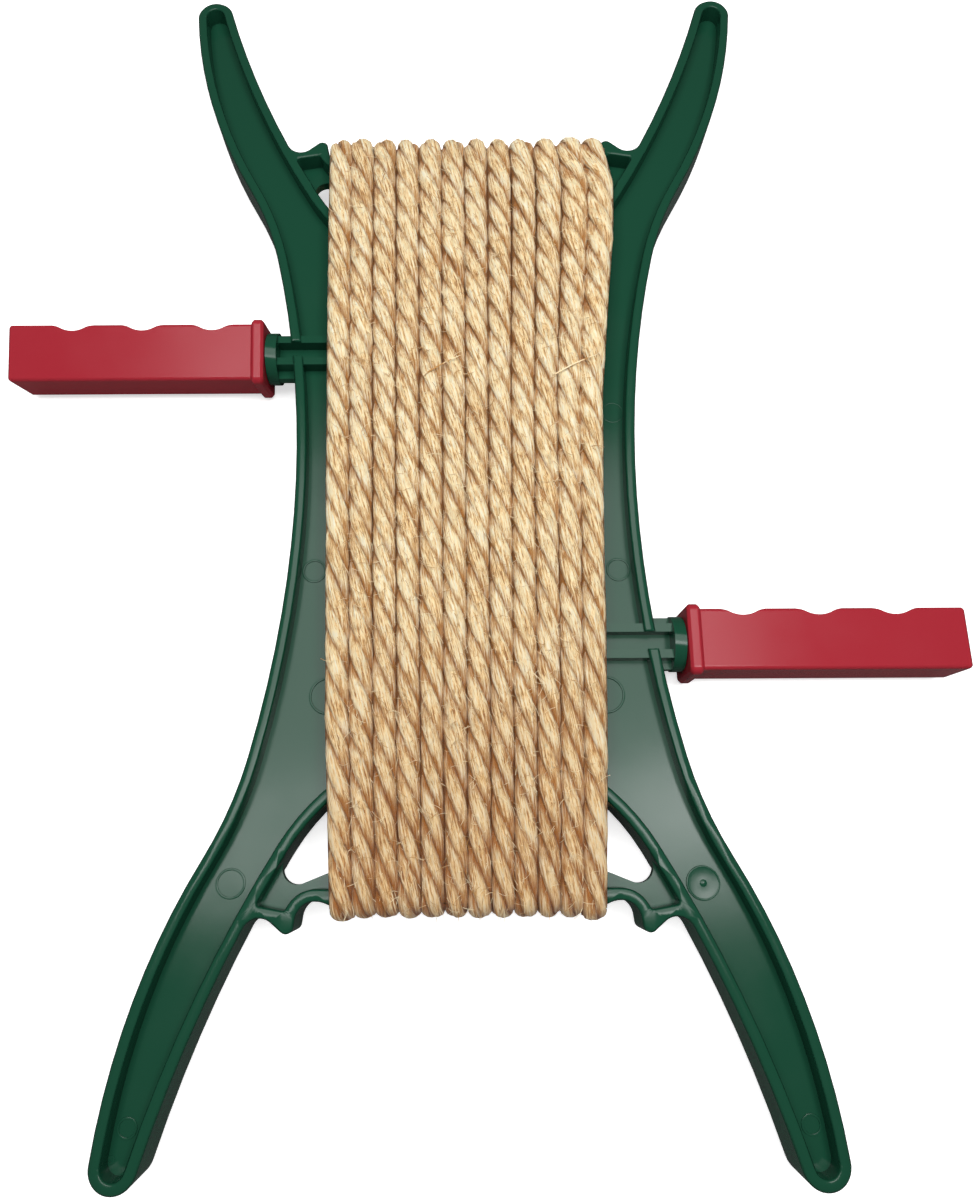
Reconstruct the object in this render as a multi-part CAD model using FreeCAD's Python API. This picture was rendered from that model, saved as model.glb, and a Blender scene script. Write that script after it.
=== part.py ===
"""Hand-held cord winder: a moulded H-shaped frame, two spinning grips and a wound jute cord.

The winder lies flat, as on a table. X runs along the grip axles, Y along the winding and Z up.
The origin is on the table, below the middle of the frame.
"""
import FreeCAD, Part
import math
import os

V = FreeCAD.Vector

# Frame plate and its rims
frame_length = 393.8         # over the horn tips
rim_height = 15.0            # thickness of the frame over its rims
web_thickness = 3.0          # plate inside the rims
rim_width = 3.2              # rim along the waist and the outside of the horns
inner_rim_width = 3.3        # rim along the inside of the horns and the arches
rim_bevel = 0.7              # softened edge of every rim

# Waist and horns, one quarter of the outline
waist_half_width = 54.3
waist_radius = 363.0
waist_end_angle = 13.5       # degrees that the waist arc turns before the flare
flare_radius = 109.0
flare_end_angle = 29.7       # lean of the horn's outside where the flare ends, degrees
horn_spread = 199.1          # over the tips of two neighbouring horns
tip_radius = 6.5             # rounded end of a horn
horn_inner_radius = 350.0
tip_lean = 16.3              # lean of the horn's inside at its tip, degrees

# Arch opening between two horns, and the bridge that the cord goes round
arch_shoulder = 13.1         # from the seat to where the arch's round top meets the horns
arch_corner_radius = 4.4
bridge_depth = 14.1          # from the arch to the seat, on the centre line
bridge_rise = 12.0           # how much the bridge's inner edge rises from there to the horns
bridge_inset = 47.3          # where that rise is reached, inward from the horn tips
seat_to_tips = 72.6          # from the edge that the cord lies on to the horn tips
seat_corner_radius = 1.6
bridge_rib_width = 2.9
rib_corner_radius = 0.8
outer_tooth_inset = 48.75    # tooth beside the horn, inward from the horn tips
outer_tooth_height = 9.0     # its tip above the seat
inner_tooth_inset = 63.75    # tooth under the cord, inward from the horn tips
inner_tooth_height = 2.6     # its tip above the seat
tooth_radius = 2.1
notch_inset = 56.45          # deepest place of the notch between the two teeth
notch_radius = 5.4           # its side towards the outer tooth
notch_flare = 8.0            # its side towards the inner tooth, which is more open
notch_height = 0.4           # bottom of that notch above the seat
root_radius = 5.0            # hollow between the outer tooth and the horn
root_height = 4.8            # bottom of that hollow above the seat
pocket_inset = 47.65         # corner of the bridge's recess, behind the outer tooth
pocket_height = 2.8          # that corner above the seat
pocket_wall = 4.0            # between the recess and the hollow beside the horn

# Axles, one on each side, moulded with the frame
axle_y = 50.0                # distance of each axle from the middle of the frame
stub_radius = 8.25           # ribbed stretch between rim and collar
collar_radius = 8.6
collar_start = 62.8          # inner face of the collar, from the centre line
collar_length = 3.6
rib_spacing = 8.1            # between the middles of the two long ribs of an axle
rib_width = 2.6
rib_top = 6.0                # height of the long ribs above the middle of the plate
rib_inner_end = 14.0         # where the long ribs end on the web, from the centre line
spindle_radius = 5.3         # cross-shaped stretch inside the grip
spindle_web = 2.6
journal_radius = 5.55        # round bearing rings on the spindle
journal_length = 5.0
barb_radius = 5.95           # snap head that keeps the grip on
barb_length = 4.0
barb_shoulder = 1.0          # from the far ring to the barbs
spindle_short = 5.3          # how much shorter the spindle is than the grip
channel_depth = 7.0          # how far the channel between the ribs reaches in from the waist
lead_radius = 4.6            # nose of the snap head

# Grips
reel_width = 303.4           # over the ends of both grips
grip_width = 19.0            # across, without the finger grooves
grip_depth = 17.0
grip_edge_radius = 1.2       # along the grip's long edges
grip_end_bevel = 0.8
grip_end_gap = 0.3           # between collar and grip
bead_length = 4.2            # thick edge round the mouth
bead_height = 1.4
bead_bevel = 0.9
bead_corner = 2.4
groove_count = 3
groove_pitch_share = 0.273   # of the length of a grip, from one groove to the next
groove_depth = 2.1
groove_radius = 8.5
groove_blend = 8.0
first_groove_share = 0.205   # of the length of a grip, from its mouth to the first groove
running_gap = 0.05           # radial, between journal and bore
snap_gap = 0.35              # round the snap head in its chamber
bore_end_gap = 1.0           # past the end of the spindle
left_grip_turn = 12.0        # how far the left grip has spun on its axle, degrees

# Cord
cord_diameter = 5.8
turn_gap = 0.7               # least space between two turns side by side
cord_sides = 10              # flat sides of its section, which stands for a round one
cord_gap = 0.75              # between cord and frame, on the flat
tooth_gap = 0.75             # between cord and tooth
cord_bend_radius = 5.8       # middle of the cord, round each edge of the bridge
cord_flat = 0.5              # depth pressed flat where the winder lies on it
start_tail_y = 25.0          # where the first end lies on the back
end_tail_y = -30.0           # where the last end lies on the back

# Places that follow from the sizes above
tip_x = horn_spread / 2 - tip_radius
tip_y = frame_length / 2 - tip_radius
seat_y = frame_length / 2 - seat_to_tips
bridge_half_width = horn_spread / 2 - bridge_inset
bridge_inner_radius = (bridge_half_width ** 2 + bridge_rise ** 2) / (2 * bridge_rise)
outer_tooth_x = horn_spread / 2 - outer_tooth_inset
inner_tooth_x = horn_spread / 2 - inner_tooth_inset
notch_x = horn_spread / 2 - notch_inset
pocket_x = horn_spread / 2 - pocket_inset
outer_tooth_y = seat_y + outer_tooth_height
inner_tooth_y = seat_y + inner_tooth_height
plate_z = rim_height / 2 + cord_gap + cord_diameter - cord_flat
cord_level = rim_height / 2 + cord_gap + cord_diameter / 2
seat_turn_y = seat_y + cord_gap + cord_diameter / 2
notch_turn_y = seat_turn_y + notch_height
tooth_turn_y = inner_tooth_y + tooth_gap + cord_diameter / 2
collar_end = collar_start + collar_length
grip_start = collar_end + grip_end_gap
grip_end = reel_width / 2
grip_length = grip_end - grip_start
spindle_length = grip_length - spindle_short + grip_end_gap
cord_turns = int(2 * inner_tooth_x / (cord_diameter + turn_gap)) + 1
near = 0.001                 # two places this close together are the same


def along(angle):
    """Unit step at an angle in degrees from +X."""
    return V(math.cos(math.radians(angle)), math.sin(math.radians(angle)), 0)


def circle(centre, turn):
    """A circle that an outline follows: turn is its radius, minus where the outline turns right."""
    return (centre.x, centre.y, turn)


def tangent(a, b):
    """Points where the outline leaves circle a and meets circle b."""
    dx, dy = b[0] - a[0], b[1] - a[1]
    change = b[2] - a[2]
    length = math.sqrt(max(dx * dx + dy * dy - change * change, 0.0))
    scale = dx * dx + dy * dy
    ux = (length * dx + change * dy) / scale
    uy = (length * dy - change * dx) / scale
    leave = V(a[0] + a[2] * uy, a[1] - a[2] * ux, 0)
    meet = V(b[0] + b[2] * uy, b[1] - b[2] * ux, 0)
    return leave, meet


def arc_edge(c, start, end):
    """Arc of circle c from start to end, on the side that its turn says."""
    first = math.atan2(start.y - c[1], start.x - c[0])
    last = math.atan2(end.y - c[1], end.x - c[0])
    sweep = (last - first) % (2 * math.pi)
    if c[2] < 0:
        sweep -= 2 * math.pi
    middle = first + sweep / 2
    through = V(c[0] + abs(c[2]) * math.cos(middle), c[1] + abs(c[2]) * math.sin(middle), 0)
    return Part.Arc(start, through, end).toShape()


def outline(circles):
    """Closed face whose edge follows the circles in turn, with straight lines between them."""
    pairs = [tangent(circles[i - 1], circles[i]) for i in range(len(circles))]
    edges = []
    for i, c in enumerate(circles):
        leave, meet = pairs[i]
        if (meet - leave).Length > near:
            edges.append(Part.makeLine(leave, meet))
        else:
            meet = leave
        onward = pairs[(i + 1) % len(circles)][0]
        if (onward - meet).Length > near:
            edges.append(arc_edge(c, meet, onward))
    return Part.Face(Part.Wire(edges))


def mirrored(circles, x_sign, y_sign):
    """The same stretch of outline in another quarter, in the order that keeps going round."""
    moved = [(x_sign * x, y_sign * y, turn) for x, y, turn in circles]
    return moved if x_sign * y_sign > 0 else moved[::-1]


def four_quarters(quarter, on_axis):
    """Whole outline from the first quarter, whose first circle lies on the X axis."""
    top = quarter + on_axis + mirrored(quarter, -1, 1)
    below = [(x, -y, turn) for x, y, turn in on_axis]
    return top + mirrored(quarter[1:], -1, -1) + below + mirrored(quarter[1:], 1, -1)


def horn_circles():
    """Waist, flare, outside of the horn, tip and inside of the horn."""
    waist = V(waist_half_width + waist_radius, 0, 0)
    flare = waist - along(-waist_end_angle) * (waist_radius - flare_radius)
    outward = along(180 - flare_end_angle)
    tip = V(tip_x, tip_y, 0)
    reach = flare + outward * flare_radius - tip
    horn_radius = (tip_radius ** 2 - reach.dot(reach)) / (2 * (reach.dot(outward) + tip_radius))
    horn = tip + reach + outward * horn_radius
    inside = tip + along(180 - tip_lean) * (horn_inner_radius + tip_radius)
    return waist, flare, horn, horn_radius, tip, inside


def quarter_outline(inset, inner_inset):
    """Waist to horn, moved into the material by the width of a rim."""
    waist, flare, horn, horn_radius, tip, inside = horn_circles()
    mean_inset = (inset + inner_inset) / 2
    return [
        circle(waist, -waist_radius - inset),
        circle(flare, -flare_radius - inset),
        circle(horn, horn_radius - inset),
        circle(tip, tip_radius - mean_inset),
        circle(inside, -horn_inner_radius - inner_inset),
    ]


def arch_circle(grown):
    """Round top of an arch, which runs smoothly into the two horns, moved outward by a distance."""
    inside = horn_circles()[5]
    drop = inside.y - seat_y + arch_shoulder
    reach = -inside.x * horn_inner_radius / math.sqrt(horn_inner_radius ** 2 - drop ** 2)
    centre = V(0, inside.y - reach * drop / horn_inner_radius, 0)
    return circle(centre, horn_inner_radius - reach + grown)


def root_centre():
    """Middle of the hollow between the horn and the outer tooth."""
    inside = horn_circles()[5]
    y = seat_y + root_height + root_radius
    reach = horn_inner_radius - root_radius
    return V(inside.x + math.sqrt(reach ** 2 - (y - inside.y) ** 2), y, 0)


def notch_centre(radius):
    """Middle of a round side of the notch between the two teeth."""
    return V(notch_x, seat_y + notch_height + radius, 0)


def bridge_edge():
    """Hollow, teeth, notch and seat of the bridge, from the horn to the centre line."""
    seat_corner_x = inner_tooth_x - tooth_radius - seat_corner_radius
    return [
        circle(root_centre(), -root_radius),
        circle(V(outer_tooth_x, outer_tooth_y - tooth_radius), tooth_radius),
        circle(notch_centre(notch_radius), -notch_radius),
        circle(notch_centre(notch_flare), -notch_flare),
        circle(V(inner_tooth_x, inner_tooth_y - tooth_radius), tooth_radius),
        circle(V(seat_corner_x, seat_y + seat_corner_radius), -seat_corner_radius),
    ]


def arch_face():
    """Opening between two horns and the bridge, on the +Y side."""
    inside = horn_circles()[5]
    bridge = V(0, seat_y - bridge_depth + bridge_inner_radius, 0)
    corner = corner_between(inside, horn_inner_radius, bridge, bridge_inner_radius)
    right = [circle(inside, horn_inner_radius), circle(corner, arch_corner_radius)]
    left = [(-x, y, turn) for x, y, turn in reversed(right)]
    return outline([arch_circle(0)] + right + [circle(bridge, -bridge_inner_radius)] + left)


def corner_between(inside, inside_radius, bridge, bridge_radius):
    """Middle of the round corner that touches the horn from within and the bridge from outside."""
    a = inside_radius - arch_corner_radius
    b = bridge_radius + arch_corner_radius
    apart = (bridge - inside).Length
    step = (bridge - inside) / apart
    forward = (a * a - b * b + apart * apart) / (2 * apart)
    sideways = math.sqrt(a * a - forward * forward)
    return inside + step * forward + V(step.y, -step.x, 0) * sideways


def bridge_recess_face():
    """Recess of the bridge behind its scalloped rib, open to the arch, on the +Y side."""
    inside = horn_circles()[5]
    rib_y = seat_y - bridge_rib_width
    notch = notch_centre(notch_radius)
    corner_reach = horn_inner_radius - rib_corner_radius
    corner_y = seat_y + root_height - pocket_wall
    corner = V(inside.x + math.sqrt(corner_reach ** 2 - (corner_y - inside.y) ** 2), corner_y, 0)
    behind_tooth = V(pocket_x, seat_y + pocket_height - rib_corner_radius, 0)
    right = [
        circle(inside, horn_inner_radius),
        circle(corner, rib_corner_radius),
        circle(behind_tooth, rib_corner_radius),
        circle(notch, -(notch.y - rib_y)),
    ]
    left = [(-x, y, turn) for x, y, turn in reversed(right)]
    return outline([arch_circle(0)] + right + left)


def slab(face, low, high):
    """Solid of a flat outline between two heights above the middle of the plate."""
    lifted = face.copy()
    lifted.translate(V(0, 0, low))
    return lifted.extrude(V(0, 0, high - low))


def both_ends(shape):
    """A shape made for the +Y end, at both ends of the frame."""
    return [shape, shape.mirror(V(0, 0, 0), V(0, 1, 0))]


def recesses():
    """What the mould leaves out above and below the web."""
    arch = arch_circle(inner_rim_width)
    main = outline(four_quarters(quarter_outline(rim_width, inner_rim_width), [(arch[0], arch[1], -arch[2])]))
    shapes = []
    for face in [main] + both_ends(bridge_recess_face()):
        shapes.append(slab(face, web_thickness / 2, rim_height / 2))
        shapes.append(slab(face, -rim_height / 2, -web_thickness / 2))
    return shapes


def frame_plate():
    """Web with its rims, arches and bridges."""
    body = slab(outline(four_quarters(quarter_outline(0, 0) + bridge_edge(), [])),
                -rim_height / 2, rim_height / 2)
    body = body.cut(both_ends(slab(arch_face(), -rim_height / 2, rim_height / 2)))
    body = body.makeChamfer(rim_bevel, edges_at(body, rim_height / 2))
    return body.cut(recesses())


def edges_at(body, height):
    """Edges that lie flat at a height above or below the middle of the plate."""
    return [e for e in body.Edges if all(abs(abs(v.Z) - height) < near for v in e.Vertexes)]


def block(low, high):
    """Box between two opposite corners."""
    size = high - low
    return Part.makeBox(size.x, size.y, size.z, low)


def rod(radius, start, length):
    """Round bar along X, about the X axis."""
    return Part.makeCylinder(radius, length, V(start, 0, 0), V(1, 0, 0))


def cross(reach, start, length):
    """Bar along X whose section is a plus sign inside a circle."""
    half = spindle_web / 2
    flat = block(V(start, -reach, -half), V(start + length, reach, half))
    upright = block(V(start, -half, -reach), V(start + length, half, reach))
    return flat.fuse(upright).common(rod(reach, start, length))


def stub():
    """Ribbed stretch of an axle from under the cord to its collar."""
    inner = rib_spacing / 2 - rib_width / 2
    outer = rib_spacing / 2 + rib_width / 2
    ribs = [block(V(rib_inner_end, side, -rib_top), V(collar_start, side + rib_width, rib_top))
            for side in (inner, -outer)]
    ribs = [rib.common(rod(stub_radius, rib_inner_end, collar_start - rib_inner_end)) for rib in ribs]
    half = web_thickness / 2
    web = block(V(waist_half_width, -stub_radius, -half), V(collar_start, stub_radius, half))
    return [web.common(rod(stub_radius, waist_half_width, collar_start - waist_half_width))] + ribs


def channels():
    """Gaps through the rim between the two ribs of an axle, above and below the web."""
    half = rib_spacing / 2 - rib_width / 2
    start = waist_half_width - channel_depth
    gaps = []
    for low, high in ((web_thickness / 2, rim_height), (-rim_height, -web_thickness / 2)):
        gaps.append(block(V(start, -half, low), V(collar_start, half, high)))
    return gaps


def spindle():
    """Collar, cross-shaped spindle with its bearing rings, and the barbed arms of its end."""
    barb_start = collar_end + spindle_length - barb_length
    far_ring = barb_start - barb_shoulder - journal_length
    barb = Part.makeCone(barb_radius, lead_radius, barb_length, V(barb_start, 0, 0), V(1, 0, 0))
    return [
        rod(collar_radius, collar_start, collar_length),
        cross(spindle_radius, collar_end, spindle_length),
        rod(journal_radius, collar_end, journal_length),
        rod(journal_radius, far_ring, journal_length),
        barb.common(cross(barb_radius, barb_start, barb_length)),
    ]


def on_each_axle(shape):
    """A shape made on the X axis, moved to the right axle and, turned half round, to the left one."""
    right = shape.copy()
    right.translate(V(0, -axle_y, 0))
    left = right.copy()
    left.rotate(V(0, 0, 0), V(0, 0, 1), 180)
    return [right, left]


def frame():
    """The whole moulded frame, about the middle of its plate."""
    body = frame_plate().cut([piece for gap in channels() for piece in on_each_axle(gap)])
    added = [piece for shape in stub() + spindle() for piece in on_each_axle(shape)]
    return body.fuse(added).removeSplitter()


def grip_edge():
    """Outline of a grip seen along the plate's normal, from its mouth, with the grooves on the +Y side."""
    half = grip_width / 2
    reach = groove_radius + groove_blend
    spread = math.sqrt(reach ** 2 - (reach - groove_depth) ** 2)
    path = [circle(V(grip_end, -half), 0), circle(V(grip_end, half), 0)]
    for number in reversed(range(groove_count)):
        middle = grip_start + grip_length * (first_groove_share + number * groove_pitch_share)
        path += [circle(V(middle + spread, half - groove_blend), groove_blend),
                 circle(V(middle, half + groove_radius - groove_depth), -groove_radius),
                 circle(V(middle - spread, half - groove_blend), groove_blend)]
    path += [circle(V(grip_start, half), 0), circle(V(grip_start, -half), 0)]
    return outline(path)


def rounded_bar(start, end, y, z, radius):
    """Bar along X, as wide as 2y and as deep as 2z, with rounded long edges."""
    body = block(V(start, -y, -z), V(end, y, z))
    return body.makeFillet(radius, [e for e in body.Edges if e.BoundBox.XLength > near])


def grip_body():
    """Long block of a grip, rounded along its edges, with its finger grooves."""
    half = grip_depth / 2
    bar = rounded_bar(grip_start, grip_end, grip_width / 2, half, grip_edge_radius)
    body = bar.common(slab(grip_edge(), -half, half))
    return body.makeChamfer(grip_end_bevel, [e for e in body.Edges if e.BoundBox.XMin > grip_end - near])


def bead():
    """Thick rounded edge round the mouth of a grip."""
    y = grip_width / 2 + bead_height
    z = grip_depth / 2 + bead_height
    body = rounded_bar(grip_start, grip_start + bead_length, y, z, bead_corner)
    return body.makeChamfer(bead_bevel, [e for e in body.Edges if e.BoundBox.XLength < near])


def bore():
    """Blind hole of a grip, with the wider chamber that its axle's barbs snap into."""
    chamber_start = collar_end + spindle_length - barb_length - grip_end_gap
    chamber_length = barb_length + grip_end_gap + bore_end_gap
    hole = rod(journal_radius + running_gap, grip_start - bead_length, chamber_start - grip_start + bead_length)
    return [hole, rod(barb_radius + snap_gap, chamber_start, chamber_length)]


def grip():
    """A whole grip on the X axis."""
    return grip_body().fuse(bead()).cut(bore()).removeSplitter()


def spread_turns(count):
    """Turns side by side on a bridge. The first and the last one lie over the inner teeth."""
    middle = (count - 1) / 2
    places = [V((turn - middle) * inner_tooth_x / middle, seat_turn_y, 0) for turn in range(count)]
    places[0].y = places[-1].y = tooth_turn_y
    return places


def turn_places():
    """Where each turn of the cord goes round the +Y bridge, and how it goes round the -Y one."""
    far = [V(-notch_x, notch_turn_y, 0)] + spread_turns(cord_turns - 2) + [V(notch_x, notch_turn_y, 0)]
    near_end = [V(place.x, -place.y, 0) for place in spread_turns(cord_turns)]
    return far, near_end


def cord_corners():
    """Corners of the cord's way from its start on the back, round all turns, to its end on the back."""
    far, near_end = turn_places()
    up = V(0, 0, cord_level)
    corners = [V(far[0].x, start_tail_y, -cord_level)]
    for there, here in zip(far, near_end):
        corners += [there - up, there + up, here + up, here - up]
    beside = far[-1] - near_end[-2]
    corners.append(corners[-1] + beside * ((end_tail_y - near_end[-1].y) / beside.y))
    return corners


def cord_edges(corners):
    """Lines between the corners, with a quarter turn at each corner."""
    edges = []
    start = corners[0]
    for corner, after in zip(corners[1:-1], corners[2:]):
        arrive = (corner - start).normalize()
        leave = (after - corner).normalize()
        bend = corner - arrive * cord_bend_radius
        onward = corner + leave * cord_bend_radius
        middle = bend + leave * cord_bend_radius
        through = middle + (arrive - leave) * (cord_bend_radius / math.sqrt(2))
        edges += [Part.makeLine(start, bend), Part.Arc(bend, through, onward).toShape()]
        start = onward
    edges.append(Part.makeLine(start, corners[-1]))
    return edges


def cord_section(centre):
    """Section of the cord where it starts along Y, with a flat side below."""
    angles = [2 * math.pi * side / cord_sides for side in range(cord_sides + 1)]
    reach = cord_diameter / 2
    return Part.makePolygon([centre + V(math.cos(a), 0, math.sin(a)) * reach for a in angles])


def cord():
    """The wound cord, one unbroken tube, pressed flat where the winder lies on it."""
    corners = cord_corners()
    path = Part.Wire(cord_edges(corners))
    tube = path.makePipeShell([cord_section(corners[0])], True, False)
    table = block(V(-tip_x, -tip_y, -plate_z - cord_diameter), V(tip_x, tip_y, -plate_z))
    print("cord length", round(path.Length, 1), "mm")
    print("least gap of the cord to itself", round(least_gap(path.Edges), 2), "mm")
    return tube.cut(table)


def least_gap(edges):
    """Smallest space between two stretches of the cord that don't follow one another."""
    steps_per_bend = 8
    spots = []
    for edge in edges:
        straight = isinstance(edge.Curve, Part.Line)
        spots += edge.discretize(2 if straight else steps_per_bend + 1)[:-1]
    spots.append(edges[-1].discretize(2)[-1])
    apart = 2 * (steps_per_bend + 1)
    return min(distance_to_line(spot, spots[k], spots[k + 1])
               for i, spot in enumerate(spots)
               for k in range(i + apart, len(spots) - 1)) - cord_diameter


def distance_to_line(spot, start, end):
    """Distance from a spot to the nearest place on a line that has two ends."""
    way = end - start
    share = max(0.0, min(1.0, (spot - start).dot(way) / way.dot(way)))
    return (start + way * share - spot).Length


def placed_grips():
    """Both grips on their axles, the left one spun a little."""
    right = grip()
    left = right.copy()
    left.rotate(V(0, 0, 0), V(1, 0, 0), left_grip_turn)
    left = left.mirror(V(0, 0, 0), V(1, 0, 0))
    right.translate(V(0, -axle_y, 0))
    left.translate(V(0, axle_y, 0))
    return left, right


def winder():
    """Every piece by name, lying on the table."""
    left, right = placed_grips()
    pieces = {"frame": frame(), "left_grip": left, "right_grip": right, "cord": cord()}
    for piece in pieces.values():
        piece.translate(V(0, 0, plate_z))
    return pieces


os.makedirs("parts", exist_ok=True)
for name, piece in winder().items():
    piece.exportStep("parts/" + name + ".step")
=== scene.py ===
# %% [markdown]
# The object is a hand-held cord winder. A green plastic frame shaped like an H holds a jute cord
# that is wound over its two bridges, and a red grip spins on each of its two axles.
# The exact solids come from the CAD model. They are loaded first, and everything below gives
# them their finish or puts a finer piece in the same place.

# %% Load the solids
import math

import bmesh
import bpy
import numpy as np
from mathutils import Matrix, Vector


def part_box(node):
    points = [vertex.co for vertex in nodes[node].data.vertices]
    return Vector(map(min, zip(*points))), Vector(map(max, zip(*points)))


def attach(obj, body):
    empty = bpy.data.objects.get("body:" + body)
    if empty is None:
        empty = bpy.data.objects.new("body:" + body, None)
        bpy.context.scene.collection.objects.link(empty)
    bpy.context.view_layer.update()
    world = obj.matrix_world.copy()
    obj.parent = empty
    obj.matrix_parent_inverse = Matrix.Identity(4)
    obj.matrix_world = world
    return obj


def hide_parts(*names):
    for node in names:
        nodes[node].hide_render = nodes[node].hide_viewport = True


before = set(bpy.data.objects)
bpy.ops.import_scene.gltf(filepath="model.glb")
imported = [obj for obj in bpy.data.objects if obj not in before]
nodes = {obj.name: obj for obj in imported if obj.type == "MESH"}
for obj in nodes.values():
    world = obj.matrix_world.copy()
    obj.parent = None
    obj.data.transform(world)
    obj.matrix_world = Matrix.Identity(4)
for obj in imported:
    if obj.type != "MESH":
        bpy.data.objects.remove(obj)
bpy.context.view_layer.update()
mm = 0.001
for name in nodes:
    low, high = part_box(name)
    print(name, [round((b - a) / mm, 1) for a, b in zip(low, high)], "mm")

# %% [markdown]
# The camera repeats the photograph's. The frame looks wider at the near end, so the picture was
# taken from close by, and the far end leans away from the camera by 15 degrees.
# The lens follows from how fast sizes change over the picture. The picture was cropped a little
# off its middle, which a small sideways shift repeats without turning the camera.

# %% Camera
picture_height, focal_length, sideways = 1200, 874.0, 20.0      # pixels
lean = math.radians(15.355)
roll = math.radians(0.304)
depth = 277.5 * mm            # from the camera to the middle of the frame's front rims
below_middle = 36.03 * mm     # how far the optical axis passes below that place
rim_height = 7.5 * mm         # from the frame's middle plane to the top of its rims

plate_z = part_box("frame")[0][2] / 2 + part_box("frame")[1][2] / 2
rim_top = plate_z + rim_height
forward = Vector((0, math.sin(lean), -math.cos(lean)))
upward = Vector((0, math.cos(lean), math.sin(lean)))
camera_data = bpy.data.cameras.new("camera")
camera_data.sensor_width = 36         # mm
camera_data.lens = focal_length / picture_height * camera_data.sensor_width
camera_data.shift_x = sideways / picture_height
camera_data.clip_start = 10 * mm
camera = bpy.data.objects.new("camera", camera_data)
camera.location = Vector((0, 0, rim_top)) - forward * depth - upward * below_middle
turned_up = upward * math.cos(roll) + Vector((1, 0, 0)) * math.sin(roll)
axes = Matrix((forward.cross(turned_up), turned_up, -forward)).transposed()
camera.rotation_mode = "QUATERNION"
camera.rotation_quaternion = axes.to_quaternion()
bpy.context.scene.collection.objects.link(camera)
bpy.context.scene.camera = camera
print("camera", [round(c / mm) for c in camera.location], "mm")

# %% [markdown]
# Colours are written as sRGB hex values, as they are read from a picture. Blender's shaders work
# with linear light, so one function turns them. Another small function adds a node to any tree,
# with its settings and links, so that a material stays short enough to read.


# %% Helpers for colours and nodes
def linear(hex_colour, alpha=1.0):
    """sRGB hex colour as linear light."""
    parts = [int(hex_colour[i:i + 2], 16) / 255 for i in (1, 3, 5)]
    light = [c / 12.92 if c <= 0.04045 else ((c + 0.055) / 1.055) ** 2.4 for c in parts]
    return (*light, alpha)


def add_node(tree, kind, inputs=None, **settings):
    """Adds a node. inputs maps a socket's name or number to a value or to another socket."""
    node = tree.nodes.new(kind)
    for setting, value in settings.items():
        setattr(node, setting, value)
    for socket, value in (inputs or {}).items():
        if isinstance(value, bpy.types.NodeSocket):
            tree.links.new(value, node.inputs[socket])
        else:
            node.inputs[socket].default_value = value
    return node


def new_material(name):
    """Empty material, its node tree and its output node."""
    material = bpy.data.materials.new(name)
    material.use_nodes = True
    tree = material.node_tree
    tree.nodes.clear()
    return material, tree, tree.nodes.new("ShaderNodeOutputMaterial")


def give(obj, material):
    """The object shows this material all over."""
    obj.data.materials.clear()
    obj.data.materials.append(material)


def show(name, mesh, body):
    """New piece from a mesh whose places are already right, moving with a CAD body."""
    obj = bpy.data.objects.new(name, mesh)
    bpy.context.scene.collection.objects.link(obj)
    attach(obj, body)
    return obj


print("middle grey #808080 is", round(linear("#808080")[0], 3), "in linear light")

# %% [markdown]
# The cord goes round the frame twelve times. It lies flat on the front, bends round the edge of
# a bridge, drops straight to the back, bends again and comes back under the frame.
# At the far bridge the first and the last turn sit in the notches and ten turns lie between
# them. At the near bridge all twelve lie between the notches. Each time the two turns at the ends
# of the row ride on the low inner teeth. Soft cord is pressed flatter there and at the near
# bridge, so its middle lies a little lower than in the CAD model.
# Copies of one loop wouldn't do, because each turn meets the bridges in its own place, so the
# edges that it goes round are worked out turn by turn.

# %% Edges that the turns go round
turns = 12
far_seat, near_seat = 127.95 * mm, 126.85 * mm       # from the frame's middle to a turn on a bridge
far_tooth, near_tooth = 129.2 * mm, 128.5 * mm       # the same for a turn that rides on a tooth
far_notch = 128.15 * mm                              # the same for a turn in a notch
inner_tooth, notch_place = 35.8 * mm, 43.1 * mm      # how far they lie across from the middle
cord_level = 11.15 * mm                              # from the frame's middle plane up or down
start_y, end_y = 25 * mm, -30 * mm                   # where the cord's ends lie, on the back


def turns_in_a_row(count, seat, tooth):
    """Where turns lie side by side on a bridge: how far across, and how far out."""
    across = np.linspace(-inner_tooth, inner_tooth, count)
    return [(across[0], tooth)] + [(x, seat) for x in across[1:-1]] + [(across[-1], tooth)]


def turn_edges():
    """The cord's beginning, the four edges that each turn goes round, and the cord's end."""
    far = turns_in_a_row(turns - 2, far_seat, far_tooth)
    far = [(-notch_place, far_notch)] + far + [(notch_place, far_notch)]
    near = turns_in_a_row(turns, near_seat, near_tooth)
    front, back = plate_z + cord_level, plate_z - cord_level
    edges = [(far[0][0], start_y, back)]
    for (far_x, far_y), (near_x, near_y) in zip(far, near):
        edges += [(far_x, far_y, back), (far_x, far_y, front),
                  (near_x, -near_y, front), (near_x, -near_y, back)]
    slope = (far[-1][0] - near[-2][0]) / (far[-1][1] + near[-2][1])
    edges.append((near[-1][0] + slope * (end_y + near[-1][1]), end_y, back))
    return np.array(edges)


edges = turn_edges()
print(len(edges) - 2, "edges in", turns, "turns")

# %% [markdown]
# The winding is one coil, so a loop gives the points of its turns, 36 for each: five where it
# bends round an edge and four on the way to the next. They are the control points of one Curve.
# A NURBS line is smooth by itself, where a Bezier's handles would all have to be set. Blender
# turns it into a mesh, and the points of the line are read back from there.

# %% Turns of the coil
bend_radius = 3.6 * mm


def unit(step):
    """The step's direction."""
    return step / np.linalg.norm(step)


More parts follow.
